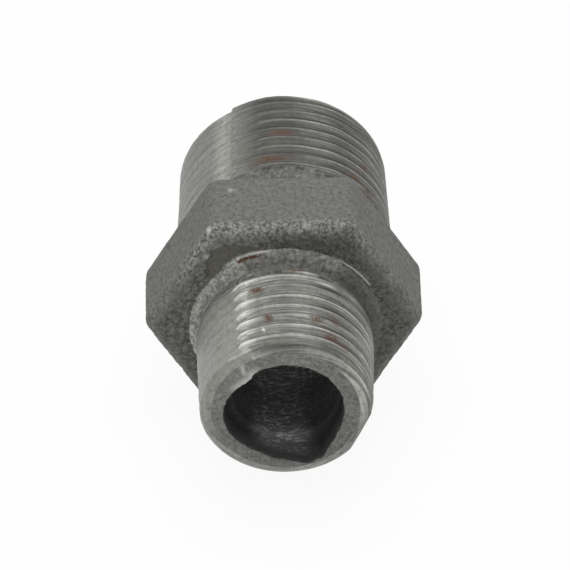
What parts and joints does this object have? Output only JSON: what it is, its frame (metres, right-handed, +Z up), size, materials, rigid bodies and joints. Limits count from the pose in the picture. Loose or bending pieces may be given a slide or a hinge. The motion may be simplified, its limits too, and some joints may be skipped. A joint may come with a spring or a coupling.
{
  "type": "reducing nipple",
  "caption": "Reducing hexagon nipple: a larger and a smaller tapered pipe thread on either side of a hexagon, with a stepped hole through them.",
  "frame": {"origin": "on the floor under the middle of the fitting, which lies on one flat of its hexagon", "axes": "+Y along the axis of the fitting, towards the large end; +Z up, at right angles to the flat that it lies on"},
  "size_m": [0.034, 0.0454, 0.03],
  "materials": {
    "cast_iron": "bare sand-cast iron, grainy on the hexagon, machined on the threads, with spots of rust"
  },
  "bodies": {
    "root": {"reducing_nipple": "cast_iron"}
  },
  "joints": []
}
